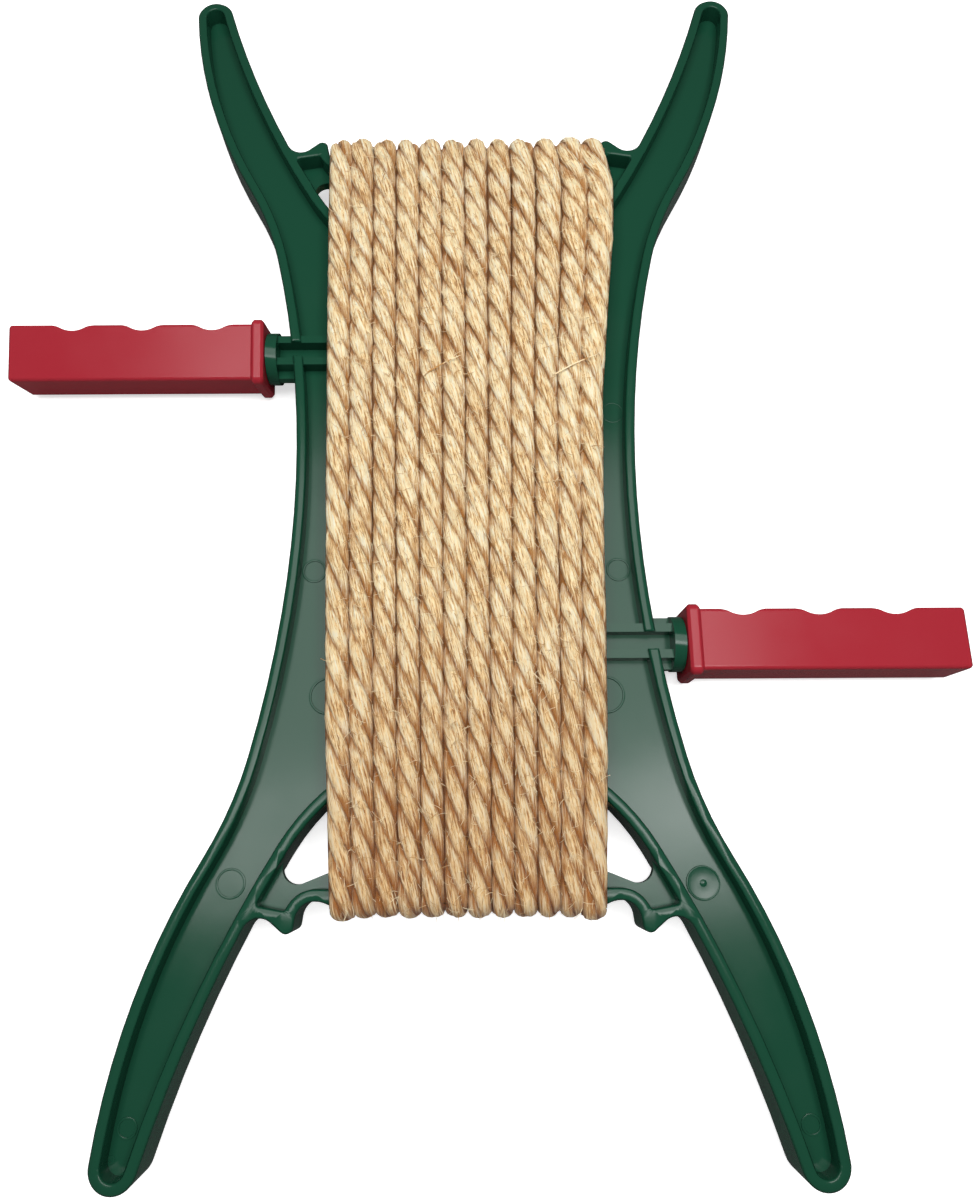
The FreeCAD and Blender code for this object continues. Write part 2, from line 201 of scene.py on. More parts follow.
def turn_points(edges):
    """Points of all turns, nine for each edge, and a few for the cord's end."""
    points = [edges[0]]
    for edge, after in zip(edges[1:-1], edges[2:]):
        start = points[-1]
        arrive, leave = unit(edge - start), unit(after - edge)
        bend = edge - arrive * bend_radius
        points += [start + (bend - start) * part for part in (0.2, 0.4, 0.6, 0.8)]
        centre = bend + leave * bend_radius
        for angle in np.radians([0, 22.5, 45, 67.5, 90]):
            outward = arrive * math.sin(angle) - leave * math.cos(angle)
            points.append(centre + outward * bend_radius)
    start = points[-1]
    return np.array(points + [start + (edges[-1] - start) * part for part in (0.25, 0.5, 0.75, 1)])


def spline_points(points):
    """The points of a NURBS line through the cord's middle, read back from Blender."""
    curve = bpy.data.curves.new("cord_line", "CURVE")
    curve.dimensions = "3D"
    spline = curve.splines.new("NURBS")
    spline.points.add(len(points) - 1)
    for place, point in zip(spline.points, points):
        place.co = (*point, 1)
    spline.order_u = 3
    spline.use_endpoint_u = True
    curve.resolution_u = 6
    line = bpy.data.objects.new("cord_line", curve)
    bpy.context.scene.collection.objects.link(line)
    mesh = bpy.data.meshes.new_from_object(line)
    found = np.array([vertex.co for vertex in mesh.vertices])
    bpy.data.objects.remove(line)
    bpy.data.meshes.remove(mesh)
    return found


smooth_line = spline_points(turn_points(edges))
print(len(smooth_line), "points on the smooth line")

# %% [markdown]
# In the photograph the turns don't lie quite parallel on the front. They spread at the far right
# and draw in at the near bridge. Moving each turn by hand would take twelve lists of places, so
# the line is shifted across by an amount that grows towards the ends of the row, on the front
# only.

# %% Turns spread on the front
# Pairs of place along the reel and shift of the outermost turn there, in mm
near_drawn_in = ((-127, 1.5), (-100, 0.6), (-75, 0))
right_spread = ((30, 0), (95, 4.4), (112, 4.4), (124, 1.7))
left_spread, left_reach = 0.8 * mm, 130 * mm
front_height = 8 * mm         # above the middle plane, where the whole shift is reached


def between(places, pairs):
    """A value for each place, from pairs of place and value in millimetres."""
    return np.interp(places, *(np.array(pairs).T * mm))


def spread_on_front(points):
    """The line with its front turns spread and drawn in a little, as they lie in the photograph."""
    x, y, z = points.T
    drawn_in = between(y, near_drawn_in)
    leftwards = left_spread * (1 - (y / left_reach) ** 2)
    outer = x / notch_place
    shift = np.where(x > 0, between(y, right_spread) - drawn_in, drawn_in - leftwards) * outer ** 2
    in_front = np.clip((z - plate_z) / front_height, 0, 1)
    return points + np.stack([shift * in_front, 0 * y, 0 * z], axis=1)


cord_line = spread_on_front(smooth_line)
cord_length = float(np.linalg.norm(np.diff(cord_line, axis=0), axis=1).sum())
print("cord", round(cord_length, 2), "m in", len(cord_line), "points")

# %% [markdown]
# The strands are built ring by ring, one at each step along the line. A step is 2.4 mm where the
# line is straight and turns by 12 degrees at most in the bends, so that the bends stay round and
# the mesh stays light.
# Each step also gets two directions square to the cord, carried along without twisting. A plain
# Curve with a bevel would do for a smooth cable, but the strands need these directions.


# %% Steps and directions along the cord
def in_steps(line, straight_step, turn_step):
    """The line in steps of one length, closer together where it turns. turn_step is in degrees."""
    lengths = np.linalg.norm(np.diff(line, axis=0), axis=1)
    ways = np.diff(line, axis=0) / lengths[:, None]
    turning = np.degrees(np.arccos(np.clip((ways[1:] * ways[:-1]).sum(axis=1), -1, 1)))
    effort = lengths / straight_step
    effort[1:] += turning / turn_step
    along = np.concatenate([[0], np.cumsum(effort)])
    spots = np.linspace(0, along[-1], int(along[-1]) + 1)
    return np.stack([np.interp(spots, along, line[:, axis]) for axis in range(3)], axis=1)


def carried_directions(path):
    """Way of the path and two directions square to it at each point."""
    way = np.gradient(path, axis=0)
    way /= np.linalg.norm(way, axis=1)[:, None]
    side = np.zeros_like(way)
    side[0] = (1, 0, 0)
    for i in range(1, len(path)):
        step = side[i - 1] - way[i] * np.dot(side[i - 1], way[i])
        side[i] = step / np.linalg.norm(step)
    return way, side, np.cross(way, side)


path = in_steps(cord_line, straight_step=2.4 * mm, turn_step=12)
way, side, other = carried_directions(path)
distance = np.concatenate([[0], np.cumsum(np.linalg.norm(np.diff(path, axis=0), axis=1))])
print(len(path), "steps along the cord")

# %% [markdown]
# Jute cord of this kind is laid from three strands. Each strand is a tube that winds round the
# cord's middle, once in about 32 mm, and it swells and thins a little as spun fibre does. The
# strands press on each other, so each is wider than it is deep. A flat core of loose fibre fills
# the chinks between the turns, and its brown is painted shade.
# A texture on one round tube would look flat at the edges, so the strands are real geometry.

# %% Strands and core
lay = 31.6 * mm                                  # one turn of the strands round the cord
strand_offset = 1.85 * mm                        # from the cord's middle to a strand's middle
half_depth, half_width = 1.65 * mm, 2.2 * mm     # of a strand
half_core = 1.3 * mm                             # of the flat core's thickness
outer_radius = strand_offset + half_depth
sides, core_sides = 8, 6
random_numbers = np.random.default_rng(seed=7)


def wander(length, period, amount):
    """Smooth random numbers along the cord, one change in each period."""
    spots = np.arange(0, length[-1] + 2 * period, period)
    return np.interp(length, spots, random_numbers.normal(0, amount, len(spots)))


slow_turn = wander(distance, period=280 * mm, amount=1.0)
usual_width = 1.035           # share of the room that a turn has
uneven_width = usual_width + wander(distance, period=14 * mm, amount=0.02)


def strand_rings(number):
    """Corner points of one strand, ring by ring, and the way in which the strand runs."""
    wound = 2 * math.pi * (-distance / lay + number / 3)
    angle = wound + slow_turn + wander(distance, period=40 * mm, amount=0.12)
    out = side * np.cos(angle)[:, None] + other * np.sin(angle)[:, None]
    middle = path + out * strand_offset
    run = np.gradient(middle, axis=0)
    run /= np.linalg.norm(run, axis=1)[:, None]
    across = np.cross(run, out)
    swell = 1 + wander(distance, period=9 * mm, amount=0.06)
    round_angles = math.pi + 2 * math.pi * np.arange(sides) / sides
    rings = middle[:, None, :] + swell[:, None, None] * (
        out[:, None, :] * np.cos(round_angles)[None, :, None] * half_depth
        + across[:, None, :] * np.sin(round_angles)[None, :, None] * half_width)
    return rings, run


def core_rings():
    """Corner points of the flat core, ring by ring."""
    flat_side = np.cross(way, (0, 0, 1))
    flat_side[np.abs(way[:, 2]) > 0.5] = (1, 0, 0)     # where the cord goes up or down
    flat_side /= np.linalg.norm(flat_side, axis=1)[:, None]
    thin_side = np.cross(flat_side, way)
    round_angles = 2 * math.pi * np.arange(core_sides) / core_sides
    return path[:, None, :] + (
        flat_side[:, None, :] * np.cos(round_angles)[None, :, None] * outer_radius
        + thin_side[:, None, :] * np.sin(round_angles)[None, :, None] * half_core)


tubes = [strand_rings(number) for number in range(3)] + [(core_rings(), way)]
print(len(tubes) - 1, "strands of", round(2 * half_width / mm, 1), "mm and a core")

# %% [markdown]
# The cord is soft: it is squeezed where the turns lie close, pressed flatter round the bridges,
# and flat where it lies on the table. A cloth simulation would find such forms by itself, but it
# is slow on 6.5 m of cord, and the room for each turn is known, so a few rules do the same.

# %% Pressed and squeezed cord
near_flat, near_tooth_flat, far_tooth_flat = 0.69, 0.43, 0.63     # depth left, where 1 is round
tooth_reach = 1.5 * mm        # across, on both sides of a tooth
press_start, press_fade = 115 * mm, 9 * mm     # along the reel, before a bridge


def pressed():
    """How flat the cord is against the bridges, ring by ring. 1 is round."""
    near = path[:, 1] < 0
    over_tooth = np.abs(np.abs(path[:, 0]) - inner_tooth) < tooth_reach
    flat = np.where(near, near_flat, 1.0)
    flat[over_tooth] = np.where(near, near_tooth_flat, far_tooth_flat)[over_tooth]
    at_bridge = np.clip((np.abs(path[:, 1]) - press_start) / press_fade, 0, 1)
    return 1 + (flat - 1) * at_bridge


to_far = np.clip((path[:, 1] + far_seat) / (2 * far_seat), 0, 1)     # 0 near, 1 far
extra_room, extra_room_full = 0.18, 95 * mm    # for the spread turns at the far right
table_gap = 0.05 * mm


def half_room():
    """Half the room that each ring of the cord has between its neighbours."""
    near_pitch = 2 * inner_tooth / (turns - 1)
    far_pitch = 2 * inner_tooth / (turns - 3)
    at_right = np.clip(path[:, 0] / notch_place, 0, 1) ** 2
    spread = extra_room * at_right * np.clip(path[:, 1] / extra_room_full, 0, 1)
    return (near_pitch + (far_pitch - near_pitch) * to_far) * (1 + spread) / 2


def squeezed(rings):
    """The rings about as wide as the room beside their neighbours, with their underside flat."""
    widen = uneven_width * half_room() / outer_radius
    offset = rings - path[:, None, :]
    offset[..., 0] *= widen[:, None]
    offset[..., 1] *= pressed()[:, None]
    result = path[:, None, :] + offset
    result[..., 2] = np.maximum(result[..., 2], table_gap)
    return result


rooms = 2 * half_room() / mm
print("a turn has", round(rooms.min(), 1), "to", round(rooms.max(), 1), "mm of room")

# %% [markdown]
# Little light reaches the chinks between strands and turns, so they get a painted shade of brown.
# The outer sides of the row are clean, and loose fibres may lie everywhere else. Both could be
# painted by hand. Here they follow from how far a corner lies from the cord's middle and from
# the next turn, so they stay right when a size changes.

# %% Open and hairy parts
# Painted shade: the openness darkens the colour on a strand's flanks and beside the next turn.
flank_shade, flank_power = 0.22, 4              # share of the openness, and how suddenly it goes
neighbour_shade, neighbour_power = 0.31, 2.4    # the same towards the next turn
# Painted shade on the core, which lies deep between the turns.
core_shade_openness = 0.6
one_turn = 540 * mm           # of cord, once round the frame
clean_from = 0.3 * mm         # outwards from the middle of an end turn


def openness(rings, flank):
    """How open each corner lies: 1 on a crest, less on a strand's flanks and beside the next turn."""
    reach = np.linalg.norm(rings - path[:, None, :], axis=2) / outer_radius
    across = squeezed(rings)[..., 0]
    beside = np.clip(np.abs(across - path[:, None, 0]) / half_room()[:, None], 0, 1)
    last_turn = inner_tooth + (notch_place - inner_tooth) * to_far
    outside = np.clip((np.abs(across) - last_turn[:, None]) / mm, 0, 1)
    flank_part = 1 - flank_shade * flank ** flank_power
    return reach * flank_part * (1 - neighbour_shade * beside ** neighbour_power * (1 - outside))


def may_be_hairy(rings):
    """False on the outer sides of the row, where the photograph shows a clean edge."""
    in_end_turn = (distance < one_turn) | (distance > cord_length - one_turn)
    outer_side = np.abs(squeezed(rings)[..., 0]) > np.abs(path[:, None, 0]) + clean_from
    return ~(in_end_turn[:, None] & outer_side)


strand_flank = np.abs(np.sin(2 * math.pi * np.arange(sides) / sides))
# The openness goes into the colour as painted shade, and it also marks the crests for the loose
# fibres.
shade_depths = [openness(rings, strand_flank).ravel() for rings, run in tubes[:-1]]
shade_depths.append(core_shade_openness * openness(tubes[-1][0], np.zeros(core_sides)).ravel())
hairy = [may_be_hairy(rings).ravel() for rings, run in tubes]
print("clean corners:", round(100 * (1 - np.concatenate(hairy).mean())), "%")

# %% [markdown]
# Each strand becomes a tube of four-sided faces between its rings, closed by a cap at both ends.
# A bevelled Curve gives such a tube too, but all its rings would be the same.


# %% Mesh of the cord
def tube_faces(rings_count, start, sides):
    """Quads between rings of so many sides, and a cap on both ends."""
    ring = np.arange(rings_count - 1)[:, None] * sides
    corner = np.arange(sides)[None, :]
    after = (corner + 1) % sides
    quads = np.stack([ring + corner, ring + after, ring + sides + after, ring + sides + corner],
                     axis=2)
    faces = (quads.reshape(-1, 4) + start).tolist()
    last = start + (rings_count - 1) * sides
    return faces + [list(range(start, start + sides))[::-1], list(range(last, last + sides))]


vertices, faces = [], []
for rings, run in tubes:
    faces += tube_faces(len(rings), sum(len(v) for v in vertices), rings.shape[1])
    vertices.append(squeezed(rings).reshape(-1, 3))
cord_mesh = bpy.data.meshes.new("jute_cord")
cord_mesh.from_pydata(np.concatenate(vertices).tolist(), [], faces)
cord_mesh.shade_smooth()
cord_mesh.validate()
print(len(cord_mesh.vertices), "corners in the strands and the core")

# %% [markdown]
# The fibres follow each strand, so the material needs to know where it is along a strand and
# how far round it. A UV map says both in millimetres, so that a pattern keeps its real size.
# The map's seam lies inside the cord. One attribute says how deep a spot lies between the strands,
# where the material paints shade. Two are for the loose fibres: which way the strand runs, and
# where the cord is hairy. Attributes hand such values to the material and to Geometry Nodes.


# %% Places for the fibre pattern
round_strand = 12.2           # mm, once round a strand
strand_shift = 370            # mm, so that each strand shows its own part of the pattern


def write_places(mesh):
    """UV map, depth, hairiness and way of every corner of the cord."""
    lengths_along, arounds, runs = [], [], []
    for number, (rings, run) in enumerate(tubes):
        ring_sides = rings.shape[1]
        lengths_along.append(distance.repeat(ring_sides) / mm + number * strand_shift)
        arounds.append(np.tile(np.arange(ring_sides) / ring_sides, len(path)))
        runs.append(run.repeat(ring_sides, axis=0))
    loops = np.zeros(len(mesh.loops), np.int64)
    mesh.loops.foreach_get("vertex_index", loops)
    u = np.concatenate(lengths_along)[loops]
    v = np.concatenate(arounds)[loops]
    starts = np.zeros(len(mesh.polygons), np.int64)
    totals = np.zeros(len(mesh.polygons), np.int64)
    mesh.polygons.foreach_get("loop_start", starts)
    mesh.polygons.foreach_get("loop_total", totals)
    for start in starts[totals == 4]:
        around = v[start:start + 4]
        if around.max() - around.min() > 0.5:
            around[around < 0.5] += 1
    layer = mesh.uv_layers.new(name="strand")
    spots = np.stack([u, v * round_strand], axis=1)
    layer.uv.foreach_set("vector", spots.astype(np.float32).ravel())
    # The depth attribute carries the painted shade of the chinks.
    deep = mesh.attributes.new("depth", "FLOAT", "POINT")
    deep.data.foreach_set("value", np.concatenate(shade_depths).astype(np.float32))
    fuzzy = mesh.attributes.new("hairy", "BOOLEAN", "POINT")
    fuzzy.data.foreach_set("value", np.concatenate(hairy))
    running = mesh.attributes.new("way", "FLOAT_VECTOR", "POINT")
    running.data.foreach_set("vector", np.concatenate(runs).astype(np.float32).ravel())


write_places(cord_mesh)
cord_piece = show("jute_cord", cord_mesh, "frame")
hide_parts("cord")
print(len(cord_mesh.polygons), "faces in the cord")

# %% [markdown]
# Jute is a pale, dry bast fibre. Spun into a strand it looks like straw: streaks of cream, gold
# and brown along the fibre, no shine to speak of, and a soft light edge from the fuzz.
# Yarn is spun the other way than the strands are laid, so its fibres show straight along the cord.
# Two noise textures stretched that way give the streaks their colour and their relief. A wider
# one makes some stretches darker than others, and painted shade makes the near end darker and
# browner.
# An image of fibres would repeat along 6.5 m of cord, and noise doesn't.


# %% Spun jute
# Real fibres are about 0.05 mm thick. The streaks are drawn ten times as wide, so that they show.
streak_length, streak_width, patch_size = 5.3, 0.51, 12.5      # mm
finer = 3.2                   # how many fine streaks lie side by side in one
streak_weight = 0.9           # how far the streaks shift the painted shade of the chinks
near_darkening = -0.12        # how far the near end's painted shade shifts it
counter_twist = 22            # degrees between the fibres and their strand
near_shade_from, near_shade_to = -30 * mm, -120 * mm     # along the reel, where the near end's painted shade begins and where it is full


def jute_material():
    """Spun jute: to the eye it is matt and straw-coloured, streaked along the cord."""
    material, tree, output = new_material("spun_jute")
    uv = add_node(tree, "ShaderNodeUVMap", uv_map="strand")
    fibres = add_node(tree, "ShaderNodeMapping", {
        0: uv.outputs[0], "Rotation": (0, 0, math.radians(counter_twist)),
        "Scale": (streak_length, streak_width, 1)}, vector_type="TEXTURE")
    streaks = add_node(tree, "ShaderNodeTexNoise", {
        0: fibres.outputs[0], "Scale": 1.0, "Detail": 5.0, "Roughness": 0.68})
    fine = add_node(tree, "ShaderNodeTexNoise", {
        0: fibres.outputs[0], "Scale": finer, "Detail": 4.0, "Roughness": 0.65})
    patches = add_node(tree, "ShaderNodeTexNoise", {
        0: uv.outputs[0], "Scale": 1 / patch_size, "Detail": 2.0})
    spread = add_node(tree, "ShaderNodeMapRange", {
        0: patches.outputs[0], "From Min": 0.3, "From Max": 0.7, "To Min": -0.05, "To Max": 0.05})
    shifted = add_node(tree, "ShaderNodeMath", {
        0: streaks.outputs[0], 1: spread.outputs[0]}, operation="ADD")
    tone = add_node(tree, "ShaderNodeValToRGB", {0: shifted.outputs[0]})
    ramp = tone.color_ramp
    ramp.elements[0].position, ramp.elements[0].color = 0.35, linear("#9E6833")
    ramp.elements[1].position, ramp.elements[1].color = 0.65, linear("#FFF9E0")
    for position, colour in ((0.43, "#E9BE81"), (0.52, "#FFEAB8")):
        ramp.elements.new(position).color = linear(colour)
    # Painted shade: where the depth attribute is low, deep in the chinks, the colour is mixed towards
    # brown.
    deep = add_node(tree, "ShaderNodeAttribute", attribute_name="depth")
    uneven = add_node(tree, "ShaderNodeMath", {
        0: shifted.outputs[0], 1: streak_weight, 2: deep.outputs["Fac"]}, operation="MULTIPLY_ADD")
    # Painted shade: towards the near end the colour is multiplied darker and browner, and the chinks'
    # shade deepens.
    place = add_node(tree, "ShaderNodeTexCoord")
    split = add_node(tree, "ShaderNodeSeparateXYZ", {0: place.outputs["Object"]})
    near_end = add_node(tree, "ShaderNodeMapRange", {
        0: split.outputs[1], "From Min": near_shade_from, "From Max": near_shade_to,
        "To Min": 0.0, "To Max": 0.7})
    near_shaded = add_node(tree, "ShaderNodeMath", {
        0: near_end.outputs[0], 1: near_darkening, 2: uneven.outputs[0]},
        operation="MULTIPLY_ADD")
    shade = add_node(tree, "ShaderNodeMapRange", {
        0: near_shaded.outputs[0], "From Min": 0.95, "From Max": 1.32, "To Min": 0.0, "To Max": 1.0})
    shaded = add_node(tree, "ShaderNodeMix", {
        0: shade.outputs[0], 6: linear("#B0712C"), 7: tone.outputs[0]}, data_type="RGBA")
    colour = add_node(tree, "ShaderNodeMix", {
        0: near_end.outputs[0], 6: shaded.outputs[2], 7: linear("#E6D0BA")},
        data_type="RGBA", blend_type="MULTIPLY")
    bump = add_node(tree, "ShaderNodeBump", {
        "Height": fine.outputs[0], "Strength": 0.9, "Distance": 0.4 * mm})
    bump = add_node(tree, "ShaderNodeBump", {
        "Height": streaks.outputs[0], "Strength": 0.9, "Distance": 1.0 * mm,
        "Normal": bump.outputs[0]})
    shader = add_node(tree, "ShaderNodeBsdfPrincipled", {
        "Base Color": colour.outputs[2], "Roughness": 0.85, "Specular IOR Level": 0.25,
        "Sheen Weight": 0.2, "Sheen Roughness": 0.5, "Normal": bump.outputs[0]})
    tree.links.new(shader.outputs[0], output.inputs[0])
    return material


jute = jute_material()
give(cord_piece, jute)
print(len(jute.node_tree.nodes), "nodes in the spun jute")

# %% [markdown]
# A jute cord is hairy: single fibres come loose all over it. One thin bent fibre is made once
# and set on points that are scattered over the crests of the strands on their upper side. Most
# lie nearly along the strand and some cross it. The row's outer sides stay clean, as in the
# photograph. Hair curves would look as good, but the part needs a mesh. Geometry Nodes makes one
# by rule, with fixed seeds, so that the fibres' number and length stay easy to change.

# %% Node tree for loose fibres
crest_openness = 0.8          # of the openness that the depth attribute holds, where 1 is a crest
upper_side = 0.55             # upward part of a face's normal


def loose_fibres_tree():
    """Scatters bent fibres over the crests on the upper side of a cord."""
    tree = bpy.data.node_groups.new("loose_fibres", "GeometryNodeTree")
    for name, kind in (("Cord", "Geometry"), ("Fibres per Area", "Float"), ("Length", "Float"),
                       ("Thickness", "Float"), ("Lowest", "Float"), ("Seed", "Int"),
                       ("Material", "Material")):
        tree.interface.new_socket(name, in_out="INPUT", socket_type="NodeSocket" + kind)
    tree.interface.new_socket("Fibres", in_out="OUTPUT", socket_type="NodeSocketGeometry")
    given = tree.nodes.new("NodeGroupInput").outputs
    deep = add_node(tree, "GeometryNodeInputNamedAttribute", {"Name": "depth"}, data_type="FLOAT")
    outer = add_node(tree, "FunctionNodeCompare", {
        0: deep.outputs[0], 1: crest_openness}, data_type="FLOAT", operation="GREATER_THAN")
    place = add_node(tree, "GeometryNodeInputPosition")
    split = add_node(tree, "ShaderNodeSeparateXYZ", {0: place.outputs[0]})
    raised = add_node(tree, "FunctionNodeCompare", {
        0: split.outputs[2], 1: given["Lowest"]}, data_type="FLOAT", operation="GREATER_THAN")
    facing = add_node(tree, "GeometryNodeInputNormal")
    facing_split = add_node(tree, "ShaderNodeSeparateXYZ", {0: facing.outputs[0]})
    upward_side = add_node(tree, "FunctionNodeCompare", {
        0: facing_split.outputs[2], 1: upper_side}, data_type="FLOAT", operation="GREATER_THAN")
    hairy_side = add_node(tree, "GeometryNodeInputNamedAttribute", {"Name": "hairy"},
                          data_type="BOOLEAN")
    chosen = outer
    for condition in (raised, upward_side, hairy_side):
        chosen = add_node(tree, "FunctionNodeBooleanMath", {
            0: chosen.outputs[0], 1: condition.outputs[0]}, operation="AND")
    points = add_node(tree, "GeometryNodeDistributePointsOnFaces", {
        "Mesh": given["Cord"], "Selection": chosen.outputs[0], "Density": given["Fibres per Area"],
        "Seed": given["Seed"]})
    running = add_node(tree, "GeometryNodeInputNamedAttribute", {"Name": "way"},
                       data_type="FLOAT_VECTOR")
    along = add_node(tree, "FunctionNodeAlignRotationToVector", {
        "Vector": running.outputs[0]}, axis="X")
    outward = add_node(tree, "FunctionNodeAlignRotationToVector", {
        "Rotation": along.outputs[0], "Vector": points.outputs["Normal"]}, axis="Z", pivot_axis="X")
    swing = add_node(tree, "FunctionNodeRandomValue", {
        2: -1.0, 3: 1.0, "Seed": 11}, data_type="FLOAT")
    mostly_small = add_node(tree, "ShaderNodeMath", {
        0: swing.outputs[1], 1: 3.0}, operation="POWER")
    swung = add_node(tree, "ShaderNodeMath", {
        0: mostly_small.outputs[0], 1: 1.7}, operation="MULTIPLY")
    either_way = add_node(tree, "FunctionNodeRandomValue", {
        4: 0, 5: 1, "Seed": 12}, data_type="INT")
    turn_round = add_node(tree, "ShaderNodeMath", {
        0: either_way.outputs[2], 1: math.pi, 2: swung.outputs[0]}, operation="MULTIPLY_ADD")
    roll_by = add_node(tree, "FunctionNodeRandomValue", {
        2: -0.8, 3: 0.8, "Seed": 13}, data_type="FLOAT")
    lean_by = add_node(tree, "FunctionNodeRandomValue", {
        2: -0.1, 3: 0.08, "Seed": 14}, data_type="FLOAT")
    angles = add_node(tree, "ShaderNodeCombineXYZ", {
        0: roll_by.outputs[1], 1: lean_by.outputs[1], 2: turn_round.outputs[0]})
    lean_turn = add_node(tree, "FunctionNodeEulerToRotation", {0: angles.outputs[0]})
    turned = add_node(tree, "FunctionNodeRotateRotation", {
        "Rotation": outward.outputs[0], "Rotate By": lean_turn.outputs[0]}, rotation_space="LOCAL")
    shortest = add_node(tree, "ShaderNodeMath", {
        0: given["Length"], 1: 0.4}, operation="MULTIPLY")
    size = add_node(tree, "FunctionNodeRandomValue", {
        2: shortest.outputs[0], 3: given["Length"], "Seed": given["Seed"]}, data_type="FLOAT")
    line = add_node(tree, "GeometryNodeCurveQuadraticBezier", {
        "Resolution": 3, "Start": (-0.02, 0, 0), "Middle": (0.5, 0.2, 0.05),
        "End": (1.0, -0.05, 0.15)})
    slim = add_node(tree, "ShaderNodeMath", {
        0: given["Thickness"], 1: given["Length"]}, operation="DIVIDE")
    round_profile = add_node(tree, "GeometryNodeCurvePrimitiveCircle", {
        "Resolution": 3, "Radius": slim.outputs[0]})
    fibre = add_node(tree, "GeometryNodeCurveToMesh", {
        0: line.outputs[0], "Profile Curve": round_profile.outputs[0], "Fill Caps": True})
    placed = add_node(tree, "GeometryNodeInstanceOnPoints", {
        "Points": points.outputs[0], "Instance": fibre.outputs[0], "Rotation": turned.outputs[0],
        "Scale": size.outputs[1]})
    real = add_node(tree, "GeometryNodeRealizeInstances", {0: placed.outputs[0]})
    finished = add_node(tree, "GeometryNodeSetMaterial", {
        0: real.outputs[0], "Material": given["Material"]})
    add_node(tree, "NodeGroupOutput", {0: finished.outputs[0]})
    return tree


fibres_tree = loose_fibres_tree()
print(len(fibres_tree.nodes), "nodes in the tree for loose fibres")

# %% [markdown]
# A single jute fibre is a dry, matt thread, and some are paler and some browner than the cord
# that they come from. One colour would make them look like bristles, so a noise that is a little
# shorter than a fibre changes the tone from one to the next.

# %% Jute fibre
fibre_patch_size = 2.9 * mm


def fibre_material():
    """Single jute fibres: matt, and to the eye some paler and some browner than the spun strand."""
    material, tree, output = new_material("jute_fibre")
    place = add_node(tree, "ShaderNodeTexCoord")
    patches = add_node(tree, "ShaderNodeTexNoise", {
        0: place.outputs["Object"], "Scale": 1 / fibre_patch_size, "Detail": 1.0})
    tone = add_node(tree, "ShaderNodeValToRGB", {0: patches.outputs[0]})
    brown, pale = tone.color_ramp.elements
    brown.position, brown.color = 0.42, linear("#C08D50")
    pale.position, pale.color = 0.54, linear("#F8E6BE")
    shader = add_node(tree, "ShaderNodeBsdfPrincipled", {
        "Base Color": tone.outputs[0], "Roughness": 0.7, "Specular IOR Level": 0.25})
    tree.links.new(shader.outputs[0], output.inputs[0])
    return material


pale_fibre = fibre_material()
print(len(pale_fibre.node_tree.nodes), "nodes in the jute fibre")

# %% [markdown]
# The tree now works on the cord's mesh, through a modifier on an object that is only made for it.
# Each input is set by its socket's identifier. What comes out is copied into a plain mesh, which
# holds the fibres alone, so they can be shown, measured and exported like any other piece.


# %% Fibres on the cord
def made_by_nodes(source, tree, **values):
    """The mesh that a node tree makes from a source mesh, with the tree's inputs set by name."""
    carrier = bpy.data.objects.new(tree.name, source)
    bpy.context.scene.collection.objects.link(carrier)
    modifier = carrier.modifiers.new(tree.name, "NODES")
    modifier.node_group = tree
    identifiers = {item.name: item.identifier for item in tree.interface.items_tree}
    for name, value in values.items():
        modifier[identifiers[name]] = value
    graph = bpy.context.evaluated_depsgraph_get()
    mesh = bpy.data.meshes.new_from_object(carrier.evaluated_get(graph))
    bpy.data.objects.remove(carrier)
    return mesh


# Up to 42 fibres lie on a square centimetre. The thickness is half the width of one, and is drawn
# about three times as coarse as the real one, so that it shows.
fibres_mesh = made_by_nodes(cord_mesh, fibres_tree, **{
    "Fibres per Area": 420000.0, "Length": 4.5 * mm, "Thickness": 0.085 * mm, "Lowest": plate_z,
    "Seed": 5, "Material": pale_fibre})
fibres_piece = show("loose_fibres", fibres_mesh, "frame")
print(len(fibres_mesh.polygons), "faces in the loose fibres")

# %% [markdown]
# Two longer wisps lie across the turns in the far half. They are single fibres with a place of
# their own, so no rule would put them there. Each is a short Curve with a bevel, drawn through
# three points and thinner at its free end.


# %% Two wisps
def wisp(name, points, radius):
    """A single thicker fibre through a few points, as a mesh."""
    curve = bpy.data.curves.new(name, "CURVE")
    curve.dimensions = "3D"
    curve.bevel_depth = radius
    curve.bevel_resolution = 1
    curve.use_fill_caps = True
    curve.resolution_u = 5
    spline = curve.splines.new("NURBS")
    spline.points.add(len(points) - 1)
    for number, (place, point) in enumerate(zip(spline.points, points)):
        place.co = (*point, 1)
        place.radius = 1 - 0.5 * number / (len(points) - 1)
    spline.order_u = 3
    spline.use_endpoint_u = True
    line = bpy.data.objects.new(name, curve)
    bpy.context.scene.collection.objects.link(line)
    mesh = bpy.data.meshes.new_from_object(line)
    bpy.data.objects.remove(line)
    piece = show(name, mesh, "frame")
    give(piece, pale_fibre)
    return piece


crest_height = 3.4 * mm       # above the cord's middle line
wisp_ways = [((-13.5, 35.5, 0.1), (-7.2, 39.6, 0.9), (-1.0, 42.0, 1.4)),
             ((28.6, 35.5, 0.1), (35.8, 39.8, 0.8), (42.6, 42.0, 1.2))]     # mm, above the crests
cord_top = plate_z + cord_level + crest_height
for number, way_points in enumerate(wisp_ways, 1):
    points = [(x * mm, y * mm, cord_top + z * mm) for x, y, z in way_points]
    wisp(f"wisp_{number}", points, radius=0.26 * mm)

# %% [markdown]
# The frame is one polypropylene moulding. Its rims are softened on their outer edges in the
# CAD model, and a mould leaves the inner edges soft too, so a merged copy gets those as well.
# Weighted normals then let each narrow bevel shade as a round edge without more faces.


